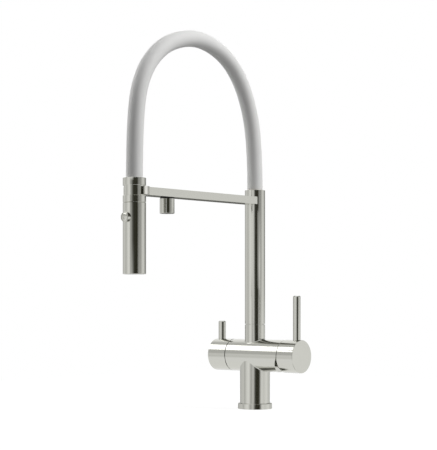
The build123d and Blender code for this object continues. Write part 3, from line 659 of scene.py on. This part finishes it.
def moulded(name, colour, roughness, scale, bump):
    """Plastic, rubber, silicone or ceramic with a fine even grain."""
    material, tree, shader = start_material(name)
    add_grain(tree, shader, colour, roughness, (scale,) * 3, MOULDED_GRAIN_STRENGTH, bump)
    return material


def dress(names, material):
    """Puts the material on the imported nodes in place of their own."""
    for name in names:
        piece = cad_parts[name]
        piece.data.materials.clear()
        piece.data.materials.append(material)


# Geometry Nodes trees


def node_tree(name, inputs):
    """An empty tree from geometry to geometry with further inputs."""
    tree = bpy.data.node_groups.new(name, "GeometryNodeTree")
    group_socket(tree, "Geometry", "NodeSocketGeometry", "INPUT")
    for label, kind, default in inputs:
        group_socket(tree, label, kind, "INPUT", default)
    group_socket(tree, "Geometry", "NodeSocketGeometry", "OUTPUT")
    return tree


def set_input(modifier, label, value):
    for item in modifier.node_group.interface.items_tree:
        if item.name == label and getattr(item, "in_out", "") == "INPUT":
            modifier[item.identifier] = value


def baked(piece, name, tree, values):
    """The plain mesh that the tree makes of a piece, in a new object. The piece goes."""
    modifier = piece.modifiers.new(tree.name, "NODES")
    modifier.node_group = tree
    for label, value in values.items():
        set_input(modifier, label, value)
    graph = bpy.context.evaluated_depsgraph_get()
    mesh = bpy.data.meshes.new_from_object(piece.evaluated_get(graph))
    mesh.name = name
    data = piece.data
    bpy.data.objects.remove(piece)
    bpy.data.meshes.remove(data)
    for face in mesh.polygons:
        face.use_smooth = True
    return add_object(name, mesh)


def finish_tree(tree, entry, geometry):
    """Makes the tree's geometry real, paints it and hands it out."""
    leave = tree.nodes.new("NodeGroupOutput")
    real = tree.nodes.new("GeometryNodeRealizeInstances")
    tree.links.new(geometry, real.inputs["Geometry"])
    paint = tree.nodes.new("GeometryNodeSetMaterial")
    tree.links.new(real.outputs["Geometry"], paint.inputs["Geometry"])
    tree.links.new(entry.outputs["Material"], paint.inputs["Material"])
    tree.links.new(paint.outputs["Geometry"], leave.inputs["Geometry"])


def coil_tree():
    """Winds a wire round the line it is given."""
    tree = node_tree(
        "wire_coil",
        (
            ("Radius", "NodeSocketFloat", None),
            ("Wire", "NodeSocketFloat", None),
            ("Turns", "NodeSocketFloat", None),
            ("Steps", "NodeSocketInt", None),
            ("Material", "NodeSocketMaterial", None),
        ),
    )
    nodes, links = tree.nodes, tree.links
    entry = nodes.new("NodeGroupInput")
    to_curve = nodes.new("GeometryNodeMeshToCurve")
    links.new(entry.outputs["Geometry"], to_curve.inputs["Mesh"])
    steps = calculate(tree, "MULTIPLY", entry.outputs["Turns"], entry.outputs["Steps"])
    resample = nodes.new("GeometryNodeResampleCurve")
    links.new(to_curve.outputs["Curve"], resample.inputs["Curve"])
    links.new(steps, resample.inputs["Count"])
    index = nodes.new("GeometryNodeInputIndex")
    turn = calculate(tree, "DIVIDE", index.outputs[0], entry.outputs["Steps"])
    angle = calculate(tree, "MULTIPLY", turn, 2 * math.pi)
    normal = nodes.new("GeometryNodeInputNormal")
    tangent = nodes.new("GeometryNodeInputTangent")
    cross = nodes.new("ShaderNodeVectorMath")
    cross.operation = "CROSS_PRODUCT"
    links.new(tangent.outputs[0], cross.inputs[0])
    links.new(normal.outputs[0], cross.inputs[1])
    total = nodes.new("ShaderNodeVectorMath")
    total.operation = "ADD"
    ways = (("COSINE", normal.outputs[0]), ("SINE", cross.outputs[0]))
    for (operation, way), part in zip(ways, total.inputs):
        wave = calculate(tree, operation, angle)
        scale = nodes.new("ShaderNodeVectorMath")
        scale.operation = "SCALE"
        links.new(way, scale.inputs[0])
        links.new(calculate(tree, "MULTIPLY", wave, entry.outputs["Radius"]), scale.inputs["Scale"])
        links.new(scale.outputs[0], part)
    move = nodes.new("GeometryNodeSetPosition")
    links.new(resample.outputs["Curve"], move.inputs["Geometry"])
    links.new(total.outputs[0], move.inputs["Offset"])
    section = nodes.new("GeometryNodeCurvePrimitiveCircle")
    section.inputs["Resolution"].default_value = WIRE_SIDES
    half = calculate(tree, "MULTIPLY", entry.outputs["Wire"], 0.5)
    links.new(half, section.inputs["Radius"])
    to_mesh = nodes.new("GeometryNodeCurveToMesh")
    to_mesh.inputs["Fill Caps"].default_value = True
    links.new(move.outputs["Geometry"], to_mesh.inputs["Curve"])
    links.new(section.outputs["Curve"], to_mesh.inputs["Profile Curve"])
    finish_tree(tree, entry, to_mesh.outputs["Mesh"])
    return tree


def ring_of_nubs_tree():
    """Sets copies of the nub it is given round two rings."""
    tree = node_tree(
        "nubs_in_rings",
        (
            ("Inner radius", "NodeSocketFloat", INNER_NUB_RING),
            ("Inner count", "NodeSocketInt", INNER_NUB_COUNT),
            ("Outer radius", "NodeSocketFloat", OUTER_NUB_RING),
            ("Outer count", "NodeSocketInt", OUTER_NUB_COUNT),
            ("Centre", "NodeSocketVector", None),
            ("Material", "NodeSocketMaterial", None),
        ),
    )
    links = tree.links
    entry = tree.nodes.new("NodeGroupInput")
    join = tree.nodes.new("GeometryNodeJoinGeometry")
    for ring in ("Inner", "Outer"):
        circle = tree.nodes.new("GeometryNodeMeshCircle")
        links.new(entry.outputs[f"{ring} count"], circle.inputs["Vertices"])
        links.new(entry.outputs[f"{ring} radius"], circle.inputs["Radius"])
        copies = tree.nodes.new("GeometryNodeInstanceOnPoints")
        links.new(circle.outputs["Mesh"], copies.inputs["Points"])
        links.new(entry.outputs["Geometry"], copies.inputs["Instance"])
        links.new(copies.outputs["Instances"], join.inputs["Geometry"])
    place = tree.nodes.new("GeometryNodeTransform")
    links.new(join.outputs["Geometry"], place.inputs["Geometry"])
    links.new(entry.outputs["Centre"], place.inputs["Translation"])
    finish_tree(tree, entry, place.outputs["Geometry"])
    return tree


def coil(name, route, radius, wire, turns, steps):
    """Winds a steel spring round the points of a route."""
    line = bpy.data.meshes.new(f"{name}_line")
    line.from_pydata([tuple(p) for p in route], [(i, i + 1) for i in range(len(route) - 1)], [])
    values = {
        "Radius": radius,
        "Wire": wire,
        "Turns": turns,
        "Steps": steps,
        "Material": bpy.data.materials["steel_plain"],
    }
    return baked(add_object(line.name, line), name, coil_tree(), values)


# Operators, one for each piece or group of like pieces


class TapFinishes(bpy.types.Operator):
    """Gives every metal, plastic, ceramic and rubber node its finish"""

    bl_idname = "tap.finishes"
    bl_label = "Finish the nodes"

    def execute(self, context):
        dress(TURNED_UPRIGHT, brushed_nickel("nickel_turned_upright", (COARSE, COARSE, FINE)))
        along = brushed_nickel("nickel_turned_along_barrel", (FINE, COARSE, COARSE))
        dress(TURNED_ALONG_BARREL, along)
        dress(("mixer_body",), brushed_nickel("nickel_casting", (FINE, COARSE, COARSE)))
        dress(("holder_arm",), brushed_nickel("nickel_arm", (FINE, COARSE, FINE)))
        dress(("docking_yoke",), plain_metal("steel_bright", (0.93, 0.92, 0.88), roughness=0.2))
        dress(("button_bezel",), brushed_nickel("nickel_bezel", (COARSE, FINE, COARSE)))
        dress(MACHINED_BRASS, plain_metal("brass_machined", (0.7, 0.53, 0.25), roughness=0.3))
        dress(PLAIN_STEEL, plain_metal("steel_plain", (0.56, 0.56, 0.57), roughness=0.3))
        dress(("docking_magnet",), plain_metal("magnet_plating", (0.7, 0.7, 0.7), roughness=0.15))
        colour = (0.055, 0.055, 0.06)
        dress(DARK_PLASTIC, moulded("plastic_dark", colour, roughness=0.45, scale=1500, bump=0.1))
        colour = (0.8, 0.79, 0.74)
        dress(CERAMIC, moulded("ceramic_lapped", colour, roughness=0.15, scale=1500, bump=0.02))
        colour = (0.02, 0.02, 0.02)
        dress(SEALS, moulded("rubber_black", colour, roughness=0.6, scale=2500, bump=0.15))
        return {"FINISHED"}


class TapHose(bpy.types.Operator):
    """Makes the arched hose: its sleeve, its support spring and the water hose inside"""

    bl_idname = "tap.hose"
    bl_label = "Hose"

    def execute(self, context):
        sizes = context.scene.tap_hose
        route = smooth_route(HOSE_ROUTE)
        outer, wall = sizes.sleeve_radius, sizes.sleeve_wall
        sleeve = flat_tube("hose_skin", route, outer, outer - wall, HOSE_SIDES)
        colour = context.scene.tap_finish.hose_colour
        silicone = moulded("silicone_white", colour, roughness=0.5, scale=900, bump=0.12)
        sleeve.data.materials.append(silicone)
        inner, wall = sizes.inner_radius, sizes.inner_wall
        water = flat_tube("water_hose", route, inner, inner - wall, WATER_HOSE_SIDES)
        lining = moulded("hose_lining", (0.3, 0.3, 0.3), roughness=0.5, scale=900, bump=0.1)
        water.data.materials.append(lining)
        length = sum((b - a).length for a, b in zip(route, route[1:]))
        spring = coil(
            "support_spring",
            route,
            sizes.spring_radius,
            sizes.spring_wire,
            length / sizes.spring_pitch,
            HOSE_SPRING_STEPS,
        )
        nodes = ("hose_sleeve", "inner_hose", "hose_support_spring")
        slots = ("hose_white", "dark_plastic", "stainless_steel")
        for piece, node, slot in zip((sleeve, water, spring), nodes, slots):
            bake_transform(piece)
            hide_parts(node)
        return {"FINISHED"}


class TapSprayButton(bpy.types.Operator):
    """Makes the spray's domed button"""

    bl_idname = "tap.spray_button"
    bl_label = "Spray button"

    def execute(self, context):
        back = BUTTON_FACE_Y - BUTTON_BACK_Y
        profile = [
            (AXIS_RADIUS, back),
            (BUTTON_FLANGE_RADIUS, back),
            (BUTTON_FLANGE_RADIUS, back + BUTTON_FLANGE_HEIGHT),
            (BUTTON_RADIUS, back + BUTTON_FLANGE_HEIGHT),
        ]
        for k in range(BUTTON_DOME_STEPS):
            turn = math.radians(90) * k / BUTTON_DOME_STEPS
            rise = BUTTON_DOME_HEIGHT * (math.sin(turn) - 1)
            profile.append((BUTTON_RADIUS * math.cos(turn), rise))
        profile.append((AXIS_RADIUS, 0.0))
        origin = (0, BUTTON_FACE_Y, BUTTON_Z)
        button = lathe("button_dome", profile, origin, (0, -1, 0), BUTTON_SIDES)
        button.data.materials.append(bpy.data.materials["nickel_bezel"])
        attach(button, "button")
        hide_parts("spray_button")
        return {"FINISHED"}


class TapButtonSpring(bpy.types.Operator):
    """Makes the coiled spring behind the button"""

    bl_idname = "tap.button_spring"
    bl_label = "Button spring"

    def execute(self, context):
        inset = Vector((0, BUTTON_SPRING_WIRE / 2, 0))
        seat = Vector((0, SPRING_SEAT_Y, BUTTON_Z))
        flange = Vector((0, BUTTON_BACK_Y, BUTTON_Z))
        spring = coil(
            "button_coil",
            (seat - inset, flange + inset),
            BUTTON_SPRING_RADIUS,
            BUTTON_SPRING_WIRE,
            BUTTON_SPRING_TURNS,
            BUTTON_SPRING_STEPS,
        )
        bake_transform(spring)
        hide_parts("button_spring")
        return {"FINISHED"}


class TapSprayNubs(bpy.types.Operator):
    """Makes the soft nubs round the spray's jets"""

    bl_idname = "tap.spray_nubs"
    bl_label = "Spray nubs"

    def execute(self, context):
        profile = [
            (NUB_FOOT_RADIUS, NUB_ROOT_Z),
            (NUB_FOOT_RADIUS, NUB_SHOULDER_Z),
            (NUB_TIP_RADIUS, NUB_TIP_Z),
            (NUB_RIM_RADIUS, NUB_TIP_Z),
            (NUB_BORE_RADIUS, NUB_ROOT_Z),
        ]
        nub = lathe("nub", profile, (0, 0, 0), (0, 0, 1), NUB_SIDES)
        material = moulded("nub_rubber", (0.12, 0.12, 0.12), roughness=0.55, scale=2500, bump=0.1)
        values = {"Centre": (0, SPRAY_Y, SPRAY_FACE_Z), "Material": material}
        nubs = baked(nub, "spray_nubs", ring_of_nubs_tree(), values)
        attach(nubs, "spray_head")
        return {"FINISHED"}


class TapStage(bpy.types.Operator):
    """Sets up the pale floor, the soft light and the camera"""

    bl_idname = "tap.stage"
    bl_label = "Stage"

    def execute(self, context):
        self.floor()
        for name, layout in CARDS.items():
            self.card(name, *layout)
        self.world()
        for name, layout in LAMPS.items():
            self.lamp(name, *layout)
        self.camera()
        context.scene.view_settings.view_transform = "Standard"
        return {"FINISHED"}

    def seen_or_through(self, tree):
        """1 for a ray from the camera or through something clear, else 0"""
        path = tree.nodes.new("ShaderNodeLightPath")
        camera_ray = path.outputs["Is Camera Ray"]
        return calculate(tree, "MAXIMUM", camera_ray, path.outputs["Is Transmission Ray"])

    def floor(self):
        signs = ((-1, -1), (1, -1), (1, 1), (-1, 1))
        corners = [(FLOOR_HALF * x, FLOOR_HALF * y, FLOOR_Z) for x, y in signs]
        floor = new_mesh("floor", corners, [(0, 1, 2, 3)])
        material, tree, shader = start_material("floor_white")
        shader.inputs["Base Color"].default_value = (FLOOR_GREY, FLOOR_GREY, FLOOR_GREY, 1)
        shader.inputs["Roughness"].default_value = FLOOR_ROUGHNESS
        shader.inputs["Specular IOR Level"].default_value = 0
        glow = tree.nodes.new("ShaderNodeEmission")
        glow.inputs["Color"].default_value = (1, 1, 1, 1)
        both = tree.nodes.new("ShaderNodeAddShader")
        level = calculate(tree, "MULTIPLY", self.seen_or_through(tree), FLOOR_GLOW)
        links = tree.links
        links.new(level, glow.inputs["Strength"])
        links.new(shader.outputs["BSDF"], both.inputs[0])
        links.new(glow.outputs["Emission"], both.inputs[1])
        links.new(both.outputs["Shader"], tree.nodes["Material Output"].inputs["Surface"])
        floor.data.materials.append(material)
        floor.visible_glossy = False

    def card(self, name, axis, distance, heights, tones):
        """A curved glowing card close in front of an upright that only the metal mirrors; its
        painted glow stands in for bright and dark reflections
        """
        points = []
        levels = []
        for degrees, *row in tones:
            turn = bpy.context.scene.tap_stage.camera_turn + math.radians(degrees)
            x = axis[0] + distance * math.sin(turn)
            y = axis[1] - distance * math.cos(turn)
            points += [(x, y, z) for z in heights]
            levels += row
        rows = len(heights)
        faces = [
            (a, a + rows, a + rows + 1, a + 1)
            for a in range(len(points) - rows)
            if a % rows < rows - 1
        ]
        card = new_mesh(name, points, faces)
        # Painted reflections: each corner of the card glows with its row's level
        paint = card.data.color_attributes.new("tone", "FLOAT_COLOR", "POINT")
        for value, level in zip(paint.data, levels):
            value.color = (level, level, level - BLUE_LOSS, 1)
        material, tree, shader = start_material(name)
        shader.inputs["Base Color"].default_value = (0, 0, 0, 1)
        shader.inputs["Specular IOR Level"].default_value = 0
        shader.inputs["Emission Strength"].default_value = 1
        painted = tree.nodes.new("ShaderNodeAttribute")
        painted.attribute_name = "tone"
        tree.links.new(painted.outputs["Color"], shader.inputs["Emission Color"])
        card.data.materials.append(material)
        card.visible_camera = False
        card.visible_diffuse = False
        card.visible_shadow = False

    def walls(self, tree, share, levels):
        """Brightness all round as a colour ramp over the share of a full turn"""
        ramp = tree.nodes.new("ShaderNodeValToRGB")
        ramp.color_ramp.interpolation = "EASE"
        stops = ramp.color_ramp.elements
        while len(stops) > 1:
            stops.remove(stops[-1])
        for i, (degrees, level) in enumerate(levels):
            place = degrees / 360 + 0.5
            stop = stops[0] if i == 0 else stops.new(place)
            stop.position = place
            stop.color = (level, level, level - BLUE_LOSS, 1)
        tree.links.new(share, ramp.inputs["Fac"])
        return ramp.outputs["Color"]

    def band(self, tree, height, limits, under, over):
        """Passes softly from one colour to another as the direction rises between the limits"""
        rise = tree.nodes.new("ShaderNodeMapRange")
        rise.interpolation_type = "SMOOTHSTEP"
        rise.inputs["From Min"].default_value, rise.inputs["From Max"].default_value = limits
        mix = tree.nodes.new("ShaderNodeMix")
        mix.data_type = "RGBA"
        tree.links.new(height, rise.inputs["Value"])
        tree.links.new(rise.outputs["Result"], mix.inputs["Factor"])
        colour_sockets = [socket for socket in mix.inputs if socket.type == "RGBA"]
        for socket, colour in zip(colour_sockets, (under, over)):
            if isinstance(colour, float):
                socket.default_value = (colour, colour, colour, 1)
            else:
                tree.links.new(colour, socket)
        return next(socket for socket in mix.outputs if socket.type == "RGBA")

    def world(self):
        """White backdrop, soft ambient light, and a studio of pale walls with dark gaps between
        them for the metal to mirror"""
        world = bpy.data.worlds.new("studio")
        world.use_nodes = True
        bpy.context.scene.world = world
        tree = world.node_tree
        nodes, links = tree.nodes, tree.links
        ambient = nodes["Background"]
        ambient.inputs["Color"].default_value = (1, 1, 1, 1)
        ambient.inputs["Strength"].default_value = AMBIENT
        backdrop = nodes.new("ShaderNodeBackground")
        backdrop.inputs["Color"].default_value = (1, 1, 1, 1)
        studio = nodes.new("ShaderNodeBackground")
        direction = nodes.new("ShaderNodeTexCoord")
        turned = nodes.new("ShaderNodeVectorRotate")
        turned.rotation_type = "Z_AXIS"
        turned.inputs["Angle"].default_value = -bpy.context.scene.tap_stage.camera_turn
        parts = nodes.new("ShaderNodeSeparateXYZ")
        links.new(direction.outputs["Generated"], turned.inputs["Vector"])
        links.new(turned.outputs["Vector"], parts.inputs["Vector"])
        towards_camera = calculate(tree, "MULTIPLY", parts.outputs["Y"], -1)
        azimuth = calculate(tree, "ARCTAN2", parts.outputs["X"], towards_camera)
        share = calculate(tree, "MULTIPLY_ADD", azimuth, 1 / (2 * math.pi), 0.5)
        height = parts.outputs["Z"]
        upper = self.walls(tree, share, UPPER_WALLS)
        lower = self.walls(tree, share, LOWER_WALLS)
        high = self.walls(tree, share, HIGH_WALLS)
        deep = self.walls(tree, share, DEEP_WALLS)
        colour = self.band(tree, height, HORIZON, lower, upper)
        colour = self.band(tree, height, WHITE_APRON, WHITE, colour)
        colour = self.band(tree, height, DEEP_STOREY, deep, colour)
        colour = self.band(tree, height, STUDIO_FLOOR, WHITE, colour)
        colour = self.band(tree, height, HIGH_STOREY, colour, high)
        colour = self.band(tree, height, CEILING, colour, CEILING_LEVEL)
        links.new(colour, studio.inputs["Color"])
        mirrored = nodes.new("ShaderNodeMixShader")
        shown = nodes.new("ShaderNodeMixShader")
        path = nodes.new("ShaderNodeLightPath")
        links.new(path.outputs["Is Glossy Ray"], mirrored.inputs["Fac"])
        links.new(ambient.outputs["Background"], mirrored.inputs[1])
        links.new(studio.outputs["Background"], mirrored.inputs[2])
        links.new(self.seen_or_through(tree), shown.inputs["Fac"])
        links.new(mirrored.outputs["Shader"], shown.inputs[1])
        links.new(backdrop.outputs["Background"], shown.inputs[2])
        links.new(shown.outputs["Shader"], nodes["World Output"].inputs["Surface"])

    def lamp(self, name, azimuth, elevation, distance, size, power, mirrored):
        """A soft lamp, whose azimuth is counted to the right from the camera's direction"""
        turn = bpy.context.scene.tap_stage.camera_turn + math.radians(azimuth)
        rise = math.radians(elevation)
        away = Vector(
            (math.sin(turn) * math.cos(rise), -math.cos(turn) * math.cos(rise), math.sin(rise))
        )
        data = bpy.data.lights.new(name, "AREA")
        data.shape = "RECTANGLE"
        data.size, data.size_y = size
        data.energy = power
        lamp = add_object(name, data)
        lamp.location = Vector(LAMP_TARGET) + away * distance
        lamp.rotation_euler = away.to_track_quat("Z", "Y").to_euler()
        lamp.visible_glossy = mirrored
        lamp.visible_diffuse = not mirrored

    def camera(self):
        stage = bpy.context.scene.tap_stage
        turn = stage.camera_turn
        back = Vector((math.sin(turn), -math.cos(turn), 0))
        right = Vector((math.cos(turn), math.sin(turn), 0))
        data = bpy.data.cameras.new("camera")
        data.sensor_width = SENSOR
        data.lens = FOCAL_LENGTH / PHOTO_HEIGHT * SENSOR
        data.shift_y = HORIZON_ROW / PHOTO_HEIGHT - 0.5
        data.clip_end = FAR_CLIP
        camera = add_object("camera", data)
        camera.location = back * stage.camera_distance - right * stage.camera_side
        camera.location.z = stage.camera_height
        camera.rotation_euler = (math.radians(90), 0, turn)
        bpy.context.scene.camera = camera


class TapPanel(bpy.types.Panel):
    bl_idname = "TAP_PT_pieces"
    bl_label = "Drinking water filter tap"
    bl_space_type = "VIEW_3D"
    bl_region_type = "UI"
    bl_category = "Tap"

    def draw(self, context):
        layout = self.layout
        scene = context.scene
        for settings in (scene.tap_finish, scene.tap_hose, scene.tap_stage):
            box = layout.box()
            for name in settings.bl_rna.properties.keys():
                if name not in ("rna_type", "name"):
                    box.prop(settings, name)
        for operator in OPERATORS:
            layout.operator(operator.bl_idname)


SETTINGS = (
    ("tap_finish", TapFinishSettings),
    ("tap_hose", TapHoseSettings),
    ("tap_stage", TapStageSettings),
)
OPERATORS = (TapFinishes, TapHose, TapSprayButton, TapButtonSpring, TapSprayNubs, TapStage)


def register():
    for name, settings in SETTINGS:
        bpy.utils.register_class(settings)
        setattr(bpy.types.Scene, name, bpy.props.PointerProperty(type=settings))
    for operator in OPERATORS:
        bpy.utils.register_class(operator)
    bpy.utils.register_class(TapPanel)


def unregister():
    bpy.utils.unregister_class(TapPanel)
    for operator in reversed(OPERATORS):
        bpy.utils.unregister_class(operator)
    for name, settings in reversed(SETTINGS):
        delattr(bpy.types.Scene, name)
        bpy.utils.unregister_class(settings)


def main():
    register()
    bpy.ops.tap.finishes()
    bpy.ops.tap.hose()
    bpy.ops.tap.spray_button()
    bpy.ops.tap.button_spring()
    bpy.ops.tap.spray_nubs()
    bpy.ops.tap.stage()


if __name__ == "__main__":
    main()
